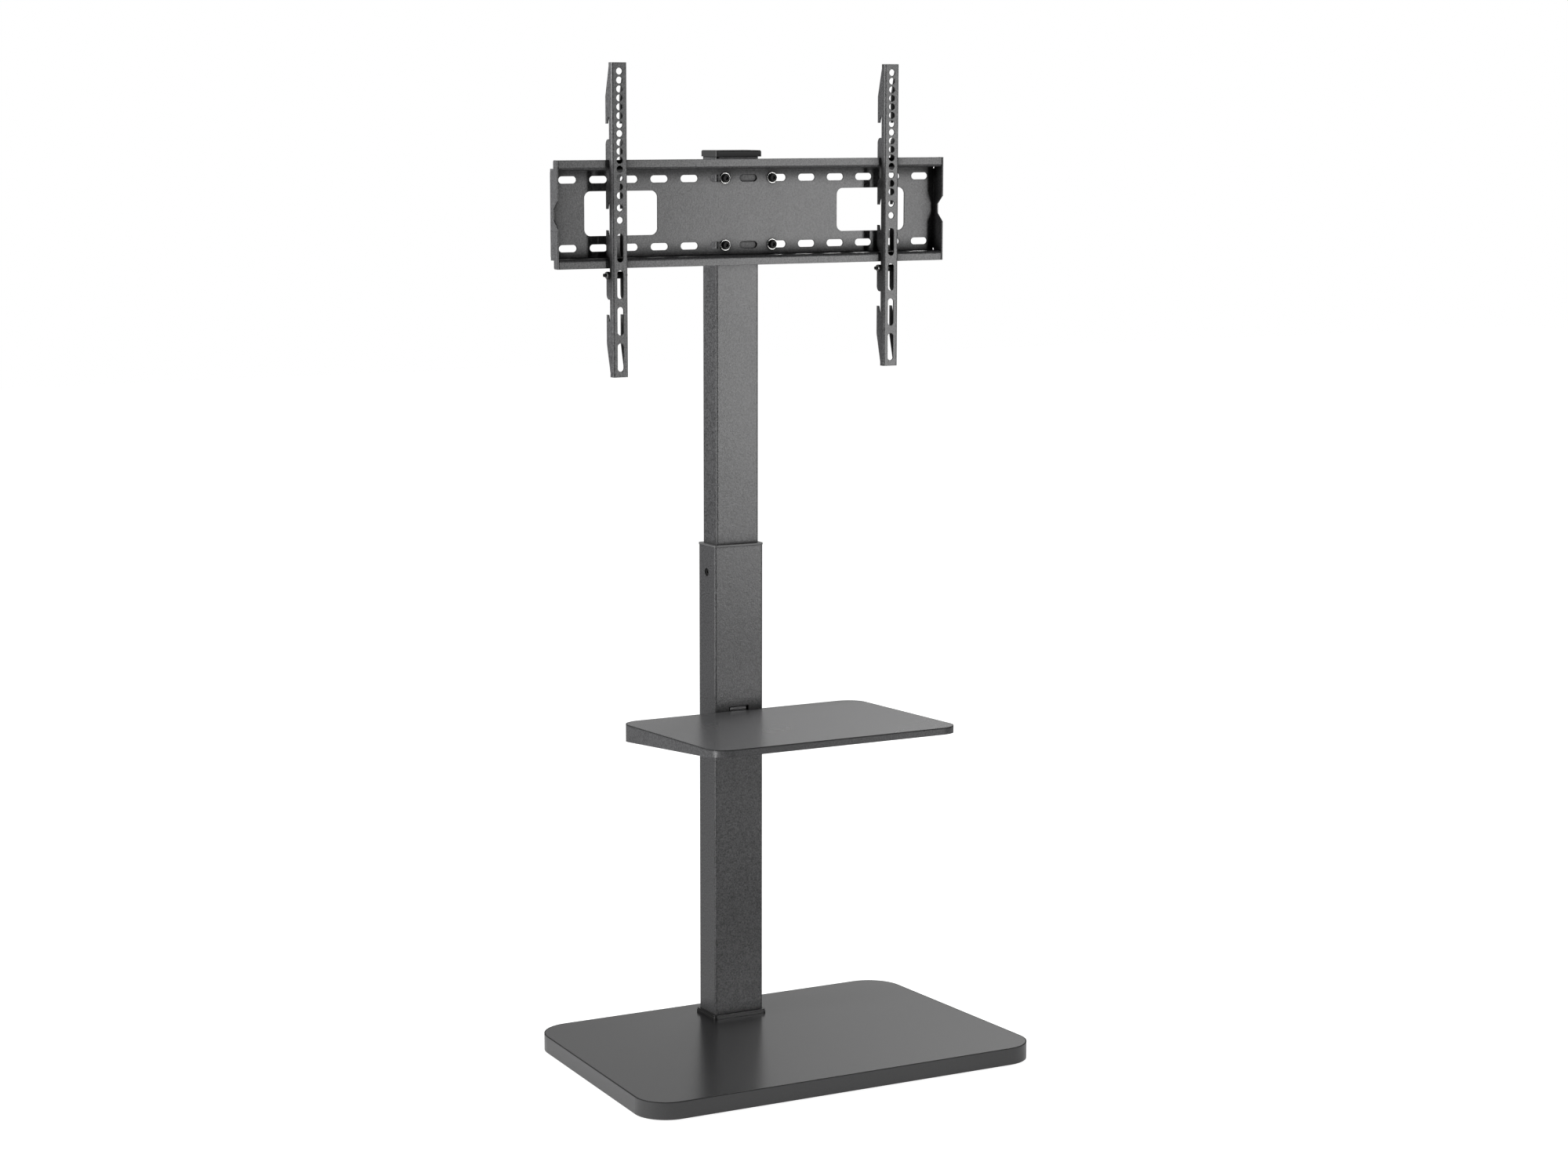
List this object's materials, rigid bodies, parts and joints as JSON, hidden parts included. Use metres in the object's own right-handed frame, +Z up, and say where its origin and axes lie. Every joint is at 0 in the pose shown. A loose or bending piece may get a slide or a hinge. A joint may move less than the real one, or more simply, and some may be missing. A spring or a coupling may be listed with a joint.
{
  "type": "tv stand with mount",
  "caption": "Floor stand for a flat screen: rounded base board, telescoping rectangular column with a small shelf, and a slotted plate with hook-on arms.",
  "frame": {"origin": "on the floor under the middle of the base", "axes": "+X to the stand's right as seen from the front, +Y to the back, +Z up; the screen side faces -Y"},
  "size_m": [0.6608, 0.446, 1.507],
  "materials": {
    "powder_coat": "fine textured satin powder coat",
    "board_face": "dark painted board, fine grain, satin",
    "edge_band": "satin edge band",
    "black_plastic": "moulded, satin",
    "grey_plastic": "moulded, fine grain",
    "black_rubber": "matte",
    "black_screw": "black oxide",
    "zinc": "bright zinc"
  },
  "bodies": {
    "base": {"base_board": "board_face", "base_edge_band": "edge_band", "foot_pads": "black_rubber", "under_plate": "powder_coat", "base_bolts": "zinc", "base_washers": "zinc", "foot_plate": "powder_coat", "foot_collar": "black_plastic", "lower_column": "powder_coat", "column_bush": "grey_plastic", "lock_insert": "black_screw", "shelf_tray": "powder_coat", "shelf_support": "powder_coat", "shelf_screws": "black_screw"},
    "lock_screw": {"lock_screw": "black_screw"},
    "head": {"upper_column": "powder_coat", "column_glide": "black_plastic", "top_cap": "black_plastic", "bracket_nuts": "zinc", "bracket_screws": "black_screw", "mount_bracket": "powder_coat", "wall_plate": "powder_coat", "plate_bolts": "black_screw", "plate_washers": "zinc", "plate_nuts": "black_screw"},
    "left_arm": {"left_arm": "powder_coat", "left_safety_screw": "black_screw", "left_safety_sleeve": "black_plastic", "left_safety_collar": "black_plastic", "left_safety_rings": "zinc"},
    "right_arm": {"right_arm": "powder_coat", "right_safety_screw": "black_screw", "right_safety_sleeve": "black_plastic", "right_safety_collar": "black_plastic", "right_safety_rings": "zinc"}
  },
  "joints": [
    {"name": "height_slide", "type": "slide", "parent": "base", "child": "head", "axis": [0, 0, 1], "range_m": [-0.25, 0.1]},
    {"name": "lock_screw_slide", "type": "slide", "parent": "base", "child": "lock_screw", "axis": [-1, 0, 0], "range_m": [0, 0.003]},
    {"name": "left_arm_slide", "type": "slide", "parent": "head", "child": "left_arm", "axis": [1, 0, 0], "range_m": [-0.08, 0.19]},
    {"name": "right_arm_slide", "type": "slide", "parent": "head", "child": "right_arm", "axis": [1, 0, 0], "range_m": [-0.19, 0.08]}
  ]
}
